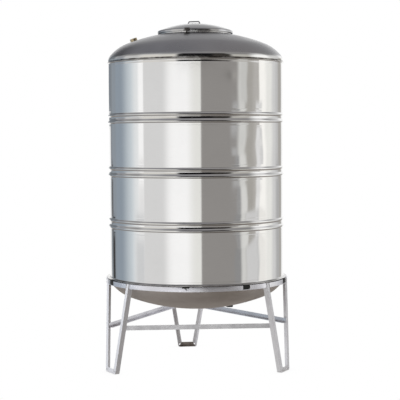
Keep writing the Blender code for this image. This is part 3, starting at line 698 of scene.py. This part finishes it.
def end_profile(rim, inset=0.0, inner_radius=0.0, steps=(30, 24, 12)):
    """Points (radius, height over the seam) of a pressed end, from inner_radius out and down to the rim.

    The rim is its radius and the height of its short upright skirt.
    """
    rim_radius, skirt = rim
    crown_edge = CROWN_RADIUS * math.sin(CROWN_EDGE)
    roll_width = RIM_ROLL_RADIUS * (1.0 - math.sin(RIM_ROLL_EDGE))
    shoulder = (rim_radius - crown_edge - roll_width) / (math.sin(RIM_ROLL_EDGE) - math.sin(CROWN_EDGE))
    roll_centre = Vector((rim_radius - RIM_ROLL_RADIUS, skirt))
    roll_way = Vector((math.sin(RIM_ROLL_EDGE), math.cos(RIM_ROLL_EDGE)))
    shoulder_centre = roll_centre + roll_way * (RIM_ROLL_RADIUS - shoulder)
    crown_way = Vector((math.sin(CROWN_EDGE), math.cos(CROWN_EDGE)))
    crown_centre = shoulder_centre + crown_way * (shoulder - CROWN_RADIUS)
    start = math.asin(inner_radius / (CROWN_RADIUS - inset))
    arcs = (
        (crown_centre, CROWN_RADIUS, start, CROWN_EDGE, steps[0]),
        (shoulder_centre, shoulder, CROWN_EDGE, RIM_ROLL_EDGE, steps[1]),
        (roll_centre, RIM_ROLL_RADIUS, RIM_ROLL_EDGE, math.pi / 2, steps[2]),
    )
    points = []
    for centre, radius, low, high, count in arcs:
        for step in range(1 if points else 0, count + 1):
            angle = low + (high - low) * step / count
            reach = radius - inset
            points.append((centre.x + reach * math.sin(angle), centre.y + reach * math.cos(angle)))
    return points


def crown_height(rim, radius):
    """Height of a pressed end's outside over its seam, at a radius on its crown."""
    top = end_profile(rim)[0][1]
    return top - CROWN_RADIUS + math.sqrt(CROWN_RADIUS ** 2 - radius ** 2)


def smooth_step(value):
    """A smooth step from 0 to 1."""
    value = min(max(value, 0.0), 1.0)
    return value * value * (3.0 - 2.0 * value)


def sheet_wave(azimuth, height):
    """How far slow waves and dents bring the rolled sheet out, or in where it is negative."""
    around = Vector((math.sin(azimuth), math.cos(azimuth), 0.0))
    slow = noise.noise(around * WAVES_AROUND + Vector((0.0, 0.0, height * WAVES_UP))) * SLOW_WAVE
    dents = noise.noise(around * DENTS_AROUND + Vector((3.0, 7.0, height * DENTS_UP))) * DENT_DEPTH
    facing = math.atan2(math.sin(azimuth - DENT_MIDDLE), math.cos(azimuth - DENT_MIDDLE))
    dents *= smooth_step(1.4 - abs(facing) / DENT_SPREAD)
    return slow + dents - WAVE_INSET


def course_bulge(low, high, height):
    """How far a course of the sheet bulges out between its stiff beads."""
    along = (height - low) / (high - low)
    return COURSE_BULGE * (4.0 * along * (1.0 - along) - 1.0)


def bead_profile(pair):
    """A pair of round beads with a leaning groove between them, from the upper edge down."""
    span = BEAD_SPACING / 2 + BEAD_HALF
    rise_step = 2 * span / BEAD_ROWS
    slopes = []
    for step in range(BEAD_ROWS):
        rise = span - rise_step * (step + 0.5)
        tilt = 0.0
        for (upper, first), (lower, second) in zip(BEAD_TILTS, BEAD_TILTS[1:]):
            if lower <= rise < upper:
                tilt = first + (second - first) * (upper - rise) / (upper - lower)
        slopes.append(math.tan(math.radians(tilt)) * rise_step)
    gained = sum(slope for slope in slopes if slope > 0)
    lost = -sum(slope for slope in slopes if slope < 0)
    # The sheet comes back to where it started
    slopes = [slope if slope > 0 else slope * gained / lost for slope in slopes]
    outs = [0.0]
    for slope in slopes:
        outs.append(outs[-1] + slope)
    scale = BEAD_PROUD / max(outs)
    edge = SHELL_RADIUS - COURSE_BULGE
    return [(edge + out * scale, pair + span - rise_step * step) for step, out in enumerate(outs)]


def make_shell(material):
    """The rolled shell with its bead pairs and flared foot."""
    shell_top = SEAM_BEAD_HEIGHT - SEAM_BEAD_HALF - GAP
    pair_reach = BEAD_SPACING / 2 + BEAD_HALF
    foot = BASE_HEIGHT + FLARE_LIP + FLARE_HEIGHT
    profile = []
    top = shell_top
    for pair in (*BEAD_PAIR_HEIGHTS, None):
        bottom = pair + pair_reach if pair else foot
        heights = [top + (bottom - top) * step / COURSE_ROWS for step in range(COURSE_ROWS + 1)]
        lines = [top - ROLL_LINE, bottom + ROLL_LINE]
        for edge, way in ((top, -1), (bottom, 1)):
            heights += [edge + way * EDGE_HOLD, edge + way * 3 * EDGE_HOLD]
            heights += [edge + way * (ROLL_LINE + step * ROLL_LINE_HALF) for step in (-1, 0, 1)]
        for height in sorted(set(heights), reverse=True):
            out = ROLL_LINE_PROUD if height in lines else 0.0
            profile.append((SHELL_RADIUS + course_bulge(bottom, top, height) + out, height))
        if pair:
            profile += bead_profile(pair)[1:-1]
            top = pair - pair_reach
    reach = FLARE_RADIUS - SHELL_RADIUS + COURSE_BULGE
    for step in range(1, CURVE_ROWS + 1):
        turn = math.pi / 2 * step / CURVE_ROWS
        out = SHELL_RADIUS - COURSE_BULGE + reach * (1.0 - math.cos(turn))
        profile.append((out, BASE_HEIGHT + FLARE_LIP + FLARE_HEIGHT * (1.0 - math.sin(turn))))
    profile += [
        (FLARE_RADIUS, BASE_HEIGHT + FOLD), (FLARE_RADIUS - FOLD, BASE_HEIGHT),
        (SHELL_RADIUS - SHEET, BASE_HEIGHT), (SHELL_RADIUS - SHEET, shell_top),
    ]
    lathe("sheet_shell", "shell", profile, SHELL_STEPS, material, wave=sheet_wave)


def make_roof(material):
    """The pressed roof with its rolled rim, the crevice under it and the seam's ridge."""
    hole = NECK_RADIUS + GAP
    outside = [(r, SEAM_HEIGHT + z) for r, z in end_profile(ROOF_RIM, 0.0, hole)]
    inside = [(r, SEAM_HEIGHT + z) for r, z in end_profile(ROOF_RIM, SHEET, hole, (8, 8, 4))]
    rim = ROOF_RIM[0]
    proud = SHELL_RADIUS + SEAM_BEAD_PROUD - rim
    crevice = SEAM_BEAD_HEIGHT + SEAM_BEAD_HALF + CREVICE_RISE
    lip = rim + RIM_LIP
    deep = rim - CREVICE_DEPTH
    ridge = [(lip, crevice + height) for height in LIP_HEIGHTS]
    ridge += [(deep, crevice + CREVICE_HEIGHT), (deep, crevice)]
    for step in range(CURVE_ROWS + 1):
        turn = math.pi * step / CURVE_ROWS
        out = proud * math.sin(turn) ** RIDGE_SHARPNESS
        ridge.append((rim + out, SEAM_BEAD_HEIGHT + SEAM_BEAD_HALF * math.cos(turn)))
    ridge.append((rim - SHEET, SEAM_BEAD_HEIGHT - SEAM_BEAD_HALF))
    lathe("sheet_roof", "roof", outside + ridge + inside[::-1], SHELL_STEPS, material)


def make_dish(material):
    """The pressed bottom."""
    top = BASE_HEIGHT - GAP
    rim = DISH_RIM[0]
    outside = [(r, top - z) for r, z in end_profile(DISH_RIM)]
    inside = [(r, top - z) for r, z in end_profile(DISH_RIM, SHEET, 0.0, (10, 8, 4))]
    edge = [(rim - SHEET, top), (rim, top)]
    profile = inside + edge + outside[::-1]
    lathe("sheet_dish", "bottom_dish", profile, DISH_STEPS, material, closed=False)


def lid_profile(inset, crown_steps=24, roll_steps=8):
    """Points of the lid from its top down to its skirt, inset into the sheet."""
    crown_centre = LID_TOP - LID_CROWN_RADIUS
    roll_radius = LID_CROWN_RADIUS - LID_EDGE_ROLL
    roll_middle = LID_RADIUS - LID_EDGE_ROLL
    edge = math.asin(roll_middle / roll_radius)
    points = []
    for step in range(crown_steps + 1):
        turn = edge * step / crown_steps
        reach = LID_CROWN_RADIUS - inset
        points.append((reach * math.sin(turn), crown_centre + reach * math.cos(turn)))
    roll_height = crown_centre + roll_radius * math.cos(edge)
    for step in range(1, roll_steps + 1):
        turn = edge + (math.pi / 2 - edge) * step / roll_steps
        reach = LID_EDGE_ROLL - inset
        points.append((roll_middle + reach * math.sin(turn), roll_height + reach * math.cos(turn)))
    return points


def make_lid(material):
    """The dished lid with its skirt."""
    outside = lid_profile(0.0) + [(LID_RADIUS, LID_BOTTOM + LID_FOLD), (LID_RADIUS - LID_FOLD, LID_BOTTOM)]
    inside = lid_profile(LID_SHEET, 12, 4) + [(LID_RADIUS - LID_SHEET, LID_BOTTOM)]
    lathe("sheet_lid", "lid", outside + inside[::-1], LID_STEPS, material, "lid", closed=False)


def make_neck(material):
    """The manhole's collar."""
    low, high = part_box("manhole_neck")
    inner = NECK_RADIUS - NECK_WALL
    profile = [
        (NECK_RADIUS - CUT_EDGE, high.z), (NECK_RADIUS, high.z - CUT_EDGE), (NECK_RADIUS, low.z),
        (inner, low.z), (inner, high.z),
    ]
    lathe("sheet_neck", "manhole_neck", profile, LID_STEPS, material)


def coat(node, material):
    """Give a CAD node its finished material."""
    item = frame["nodes"][node]
    item.data.materials.clear()
    item.data.materials.append(material)
    item.data.shade_smooth()
    item.data.set_sharp_from_angle(angle=math.radians(30.0))


def rounded(node, material, body, width):
    """A finer copy of a CAD piece with its edges rounded, in its place."""
    shape = cad_shape(node)
    bmesh.ops.dissolve_limit(
        shape, angle_limit=math.radians(0.5), verts=shape.verts[:], edges=shape.edges[:])
    sharp = [edge for edge in shape.edges if edge.is_manifold and edge.calc_face_angle() > math.radians(30.0)]
    bmesh.ops.bevel(
        shape, geom=sharp, offset=width, segments=3, profile=0.5, affect="EDGES", clamp_overlap=True)
    name = f"fine_{node}"
    dress(name, meshed(name, shape), material, body, [node], sharp=40.0)


def make_handle(material):
    """The lid's handle of its real, thicker wire, kept under the height of the thin one."""
    shape = cad_shape("lid_handle")
    bmesh.ops.remove_doubles(shape, verts=shape.verts[:], dist=0.00001)
    shape.normal_update()
    moves = [vertex.normal * HANDLE_SWELL for vertex in shape.verts]
    for vertex, move in zip(shape.verts, moves):
        vertex.co += move - Vector((0.0, 0.0, HANDLE_SWELL))
    name = "fine_lid_handle"
    dress(name, meshed(name, shape), material, "lid", ["lid_handle"], sharp=50.0)


# Stand

def arc_points(middle, radius, start, stop, steps):
    """Points along an arc in a plane."""
    turns = [start + (stop - start) * step / steps for step in range(steps + 1)]
    return [(middle[0] + radius * math.cos(turn), middle[1] + radius * math.sin(turn)) for turn in turns]


def angle_section():
    """The rolled angle's section, its corner at the origin: round corner, round toes and a hollow root."""
    corner, toe, root = 0.0012, 0.0014, 0.0025
    quarter = math.pi / 2
    inner = ANGLE_SHEET + root
    points = arc_points((corner, corner), corner, 3 * quarter, 2 * quarter, 3)
    points += [(0.0, ANGLE)]
    points += arc_points((ANGLE_SHEET - toe, ANGLE - toe), toe, quarter, 0.0, 3)
    points += arc_points((inner, inner), root, 2 * quarter, 3 * quarter, 3)
    points += arc_points((ANGLE - toe, ANGLE_SHEET - toe), toe, quarter, 0.0, 3)
    points += [(ANGLE, 0.0)]
    return points


def leg_point(leg, across, height, depth):
    """A point of a leg: along its width, over the floor, and into it from its outer face."""
    azimuth = LEG_AZIMUTHS[leg]
    along = Vector((math.cos(azimuth), math.sin(azimuth), 0.0))
    radius = LEG_FOOT_RADIUS - LEG_LEAN * height - depth
    return outward(azimuth) * radius + along * across + Vector((0.0, AXIS_Y, height))


def leg_path(leg, inset, side):
    """Half of a leg's outline in its own plane, set in.

    It runs from the leg's top down, round the corner, to the foot's middle.
    """
    half = LEG_FOOT_HALVES[leg]
    slope = LEG_TOP_HALF - half
    length = math.hypot(slope, HOOP_TOP)

    def corner(depth):
        """The outline's foot corner, set in by a depth."""
        return half - depth * (length - slope) / HOOP_TOP, depth

    start = -math.atan2(slope, HOOP_TOP)
    path = [(corner(inset)[0] + (HOOP_TOP - inset) * slope / HOOP_TOP, HOOP_TOP)]
    radius = max(FOOT_CORNER - inset, 0.0)
    path += arc_points(corner(max(FOOT_CORNER, inset)), radius, start, -math.pi / 2, 8)
    path.append((0.0, inset))
    return [(side * across, height) for across, height in path]


def loft(name, rings):
    """A mesh over rings of points, each ring closed, with the first and the last one filled."""
    shape = bmesh.new()
    rows = [[shape.verts.new(point) for point in row] for row in rings]
    for low, high in zip(rows, rows[1:]):
        for face in zip(low, low[1:] + low[:1], high[1:] + high[:1], high):
            shape.faces.new(face)
    shape.faces.new(rows[0][::-1])
    shape.faces.new(rows[-1])
    bmesh.ops.recalc_face_normals(shape, faces=shape.faces)
    return meshed(name, shape)


def make_leg(leg, material, foot_material):
    """A leg's two sides with their round foot corners, and the foot bar between them, of one section."""
    section = angle_section()
    for side, word in ((-1, "a"), (1, "b")):
        paths = [leg_path(leg, inset, side) for inset, _ in section]
        rings = []
        for step in range(len(paths[0]) - 1):
            rings.append([leg_point(leg, *path[step], depth) for path, (_, depth) in zip(paths, section)])
        name = f"fine_leg_{leg}_side_{word}"
        mesh = loft(name, rings)
        punch(mesh, leg, side)
        dress(name, mesh, material, "tank", [f"leg_{leg}_side_{word}"], sharp=35.0)
    # The foot bar runs from the end of one corner to the end of the other
    bends = [leg_path(leg, inset, 1)[-2] for inset, _ in section]
    rings = []
    for side in (-1, 1):
        row = [leg_point(leg, side * across, up, depth) for (across, up), (_, depth) in zip(bends, section)]
        rings.append(row)
    name = f"fine_foot_{leg}"
    dress(name, loft(name, rings), foot_material, "tank", [f"foot_{leg}"], sharp=35.0)


def punch(mesh, leg, side):
    """Punch the round hole through the flange at a foot's corner."""
    half = LEG_FOOT_HALVES[leg]
    middle = (side * (half - ANGLE * 0.42), ANGLE * 0.5)
    drill = bmesh.new()
    turn = outward(LEG_AZIMUTHS[leg]).to_track_quat("Z", "Y").to_matrix().to_4x4()
    at = Matrix.Translation(leg_point(leg, *middle, ANGLE_SHEET / 2)) @ turn
    bmesh.ops.create_cone(
        drill, cap_ends=True, segments=24, radius1=FOOT_HOLE, radius2=FOOT_HOLE, depth=4 * ANGLE_SHEET,
        matrix=at)
    cutter = place("drill", meshed("drill", drill))
    holder = place("drilled", mesh.copy())
    cut = holder.modifiers.new("hole", "BOOLEAN")
    cut.operation = "DIFFERENCE"
    cut.solver = "EXACT"
    cut.object = cutter
    bpy.context.view_layer.update()
    shape = bmesh.new()
    shape.from_object(holder, bpy.context.evaluated_depsgraph_get())
    shape.to_mesh(mesh)
    shape.free()
    for item in (cutter, holder):
        bpy.data.objects.remove(item, do_unlink=True)


def side_azimuth(leg, side, height, inset):
    """Azimuth at which the hoop meets one side of a leg, inset from the leg's outer corner."""
    half = LEG_FOOT_HALVES[leg]
    across = half + (LEG_TOP_HALF - half) * height / HOOP_TOP - inset
    radius = LEG_FOOT_RADIUS - LEG_LEAN * height
    return LEG_AZIMUTHS[leg] + side * math.atan2(across, radius)


def hoop_inset(ends):
    """How far a stretch of the hoop starts in from the legs' corners: the short ones fit between flanges."""
    (first_leg, _), (second_leg, _) = ends
    return ANGLE if first_leg == second_leg else 0.0


def hoop_span(ends, height):
    """The azimuths between which a stretch of the hoop runs."""
    first, second = ends
    start = side_azimuth(*first, height, hoop_inset(ends))
    stop = side_azimuth(*second, height, hoop_inset(ends))
    while stop < start:
        stop += math.tau
    return start, stop


def make_hoop_part(name, ends, material):
    """A stretch of the hoop between two leg sides, of the same rolled section."""
    width = HOOP_OUTER - HOOP_INNER
    section = [(HOOP_OUTER - min(across, width), HOOP_TOP - drop) for across, drop in angle_section()]
    start, stop = hoop_span(ends, HOOP_TOP)
    count = max(4, round((stop - start) / math.radians(1.0)))
    rings = []
    for step in range(count + 1):
        row = []
        for radius, height in section:
            start, stop = hoop_span(ends, height)
            row.append(polar(radius, start + (stop - start) * step / count, height))
        rings.append(row)
    dress(f"fine_{name}", loft(f"fine_{name}", rings), material, "tank", [name], sharp=35.0)


def weld(points, radius, seed):
    """Rings of a rippled weld bead along points."""
    rings = []
    total = len(points)
    for index, point in enumerate(points):
        ahead = points[min(index + 1, total - 1)] - points[max(index - 1, 0)]
        turn = ahead.to_track_quat("Z", "Y").to_matrix()
        ripple = 1.0 + WELD_RIPPLE * math.sin(index * 1.9 + seed) + WELD_UNEVEN * noise.noise(point * 160.0)
        size = radius * ripple * (WELD_END if index in (0, total - 1) else 1.0)
        rings.append([circled(point, turn, size, math.tau * step / 8) for step in range(8)])
    return rings


def make_welds(name, lines, radius, material):
    """One piece of several straight weld beads."""
    shape = bmesh.new()
    for seed, (start, stop) in enumerate(lines):
        count = max(3, round((stop - start).length / WELD_STEP))
        points = [start.lerp(stop, step / count) for step in range(count + 1)]
        shape.from_mesh(loft("bead", weld(points, radius, seed)))
    dress(name, meshed(name, shape), material, "tank", sharp=60.0)


def ribbon(name, points, width, material):
    """A pad's loose end that lies on the hoop's face along (azimuth in degrees, height) points."""
    rings = []
    for index, (azimuth, height) in enumerate(points):
        before = points[max(index - 1, 0)]
        after = points[min(index + 1, len(points) - 1)]
        along = (after[0] - before[0]) * math.radians(HOOP_OUTER)
        run = Vector((along, after[1] - before[1])).normalized()
        row = []
        for side, out in ((-0.5, 0.0), (-0.5, 1.0), (0.5, 1.0), (0.5, 0.0)):
            across = Vector((-run.y, run.x)) * side * width
            turn = math.radians(azimuth) + across.x / HOOP_OUTER
            row.append(polar(HOOP_OUTER + PAD_LIFT + out * PAD_THICKNESS, turn, height + across.y))
        rings.append(row)
    dress(name, loft(name, rings), material, "tank")


def make_ring_weld(name, middle, axis, radius, size, count, material):
    """A rippled weld bead all round a collar or socket, and a little past its start."""
    turn = axis.to_track_quat("Z", "Y").to_matrix()
    points = [circled(middle, turn, radius, math.tau * step / count) for step in range(count + 2)]
    dress(name, loft(name, weld(points, size, 1.0)), material, "tank", sharp=60.0)


def make_thread(name, middle, axis, radius, length, material):
    """The cut thread of the roof socket: a spiral on the wall of its bore."""
    turn = axis.to_track_quat("Z", "Y").to_matrix()
    around = 48
    pitch = length / THREAD_TURNS
    rings = []
    for step in range(around * THREAD_TURNS + 1):
        angle = math.tau * step / around
        rise = length * step / (around * THREAD_TURNS)
        rings.append([
            circled(middle, turn, radius + out, angle, rise + up * pitch) for out, up in THREAD_SECTION])
    dress(name, loft(name, rings), material, "tank", sharp=25.0)


def make_fittings(weld_material, socket_material):
    """The welds round the manhole's collar and the roof socket, and the socket's thread."""
    up = Vector((0.0, 0.0, 1.0))
    height = SEAM_HEIGHT + crown_height(ROOF_RIM, NECK_RADIUS)
    middle = polar(0.0, 0.0, height + NECK_WELD_RISE)
    make_ring_weld("weld_neck", middle, up, NECK_RADIUS + NECK_WELD_OUT, NECK_WELD, 420, weld_material)
    radius, azimuth = ROOF_SOCKET_AT
    foot = polar(radius, azimuth, SEAM_HEIGHT + crown_height(ROOF_RIM, radius))
    crown_centre = SEAM_HEIGHT + crown_height(ROOF_RIM, 0.0) - CROWN_RADIUS
    axis = (foot - polar(0.0, 0.0, crown_centre)).normalized()
    outer, bore = ROOF_SOCKET_RADII
    around = outer + SOCKET_WELD_OUT
    make_ring_weld("weld_roof_socket", foot, axis, around, SOCKET_WELD, 72, weld_material)
    depth = ROOF_SOCKET_RISE - THREAD_MARGIN
    make_thread("thread_roof_socket", foot + axis * THREAD_START, axis, bore, depth, socket_material)


def make_foot_welds(leg, material):
    """The welds between a leg's two sides and its foot bar."""
    inner = LEG_FOOT_HALVES[leg] - ANGLE * 1.1
    places = (
        ((inner, ANGLE_SHEET, 0.0), (inner + ANGLE_SHEET, ANGLE, 0.0)),
        ((inner, ANGLE, WELD_MARGIN), (inner, ANGLE, ANGLE_SHEET)),
    )
    lines = []
    for side in (-1, 1):
        for ends in places:
            lines.append([leg_point(leg, side * across, height, depth) for across, height, depth in ends])
    make_welds(f"weld_foot_{leg}", lines, FOOT_WELD, material)


def make_hoop_welds(name, ends, material):
    """The welds at a stretch's two ends, down the hoop's face and across its top."""
    inset = hoop_inset(ends)
    low = HOOP_TOP - ANGLE + WELD_MARGIN
    high = HOOP_TOP - WELD_MARGIN
    outer, inner = HOOP_OUTER - 2 * WELD_MARGIN, HOOP_INNER + 2 * WELD_MARGIN
    lines = []
    for leg, side in ends:
        upper = side_azimuth(leg, side, high, inset)
        lower = side_azimuth(leg, side, low, inset)
        lines.append((polar(HOOP_OUTER, lower, low), polar(HOOP_OUTER, upper, high)))
        lines.append((polar(outer, upper, high), polar(inner, upper, high)))
    make_welds(f"weld_{name}", lines, HOOP_WELD, material)


def make_stand(material, lit_leg_material, shaded_brace_material, back_foot_material, weld_material):
    """The three legs, the hoop, the braces and their welds."""
    # The legs take the lighter copy of the stand's steel as painted light
    for leg in LEG_AZIMUTHS:
        # The back leg's foot bar is darker and browner than the others
        make_leg(leg, lit_leg_material, back_foot_material if leg == "back" else lit_leg_material)
    for name, ends in HOOP_PARTS.items():
        make_hoop_part(name, ends, material)
    for name in ("front", "right", "left"):
        # The front and right braces take the darker copy of the stand's steel as painted shade; the left
        # brace keeps the stand's own steel
        brace = material if name == "left" else shaded_brace_material
        rounded(f"brace_{name}", brace, "tank", BRACE_EDGE)
    for leg in LEG_AZIMUTHS:
        make_foot_welds(leg, weld_material)
    for name, ends in HOOP_PARTS.items():
        make_hoop_welds(name, ends, weld_material)


make_camera()
make_studio()
make_floor()
make_lamp()
bpy.context.scene.view_settings.view_transform = "Standard"

sheet = steel("polished_sheet", (0.75, 0.745, 0.74), (0.72, 0.715, 0.71), 0.05, 0.09, (1.0, 1.0, 12.0))
roof_sheet = filmed("roof_sheet", (0.475, 0.475, 0.49), (0.425, 0.425, 0.44), (0.74, 0.735, 0.72))
dish_sheet = steel("dish_sheet", (0.70, 0.66, 0.63), (0.62, 0.58, 0.55), 0.42, 0.5)
bright_weld = steel("bright_weld", (0.86, 0.86, 0.87), (0.72, 0.72, 0.73), 0.25, 0.4, grain=0.00006)
lid_sheet = steel("lid_sheet", (0.56, 0.56, 0.57), (0.50, 0.50, 0.51), 0.12, 0.18)
fitting = steel("fitting_steel", (0.62, 0.61, 0.60), (0.52, 0.51, 0.50), 0.22, 0.32)
stand = painted("stand_steel", (0.79, 0.79, 0.84), (0.71, 0.71, 0.76), 0.85, 0.22, 0.30)
# Painted light: a lighter, less metallic copy of the stand's steel for the legs and the left and right foot
# bars, so they show brighter
leg_steel_lit_copy = painted("leg_steel_lit_copy", (0.89, 0.89, 0.93), (0.82, 0.82, 0.86), 0.30, 0.30, 0.40)
handle_steel = steel("handle_steel", (0.42, 0.42, 0.43), (0.32, 0.32, 0.33), 0.2, 0.3)
# Painted shade: a darker copy of the stand's steel for the front and right braces
brace_steel_shaded_copy = painted("brace_steel_shaded_copy", (0.77, 0.77, 0.81), (0.69, 0.69, 0.73), 0.80, 0.24, 0.34)
# Darker, browner steel for the back leg's foot bar
dark_brown_steel = painted("dark_brown_steel", (0.36, 0.32, 0.29), (0.24, 0.21, 0.19), 0.40, 0.35, 0.50)
tarnish = dull("tarnished_steel", (0.16, 0.15, 0.14), (0.04, 0.035, 0.03), 0.3, 0.5, 0.9)
brass = dull("socket_brass", (0.62, 0.55, 0.40), (0.40, 0.32, 0.20), 0.25, 0.45, 1.0)
plastic = dull("black_plastic", (0.022, 0.022, 0.022), (0.012, 0.012, 0.012), 0.35, 0.55)
rubber = dull("pad_rubber", (0.022, 0.023, 0.022), (0.010, 0.011, 0.010), 0.5, 0.8)

# Painted shade in the hollow of the shell's flared foot, over the polished sheet's colour
painted_foot_shade(sheet)
make_shell(sheet)
make_roof(roof_sheet)
make_dish(dish_sheet)
make_lid(lid_sheet)
make_neck(sheet)
make_stand(stand, leg_steel_lit_copy, brace_steel_shaded_copy, dark_brown_steel, bright_weld)
make_fittings(bright_weld, brass)
make_handle(handle_steel)
rounded("hasp", tarnish, "lid", FITTING_EDGE)
rounded("hinge_bracket", fitting, "tank", FITTING_EDGE)
rounded("hinge_leaf", fitting, "lid", FITTING_EDGE)

# Pieces that keep the solids' shapes: two by name, and all of three slots
coat("hinge_pin", fitting)
coat("staple", tarnish)
FINISHES = {"socket_brass": brass, "black_plastic": plastic, "pad_rubber": rubber}
for part in frame["record"]["subparts"]:
    slot = part["material_slot"]
    if slot in FINISHES:
        coat(part["node"], FINISHES[slot])

for name, points, width in PAD_ENDS:
    ribbon(name, points, width, rubber)
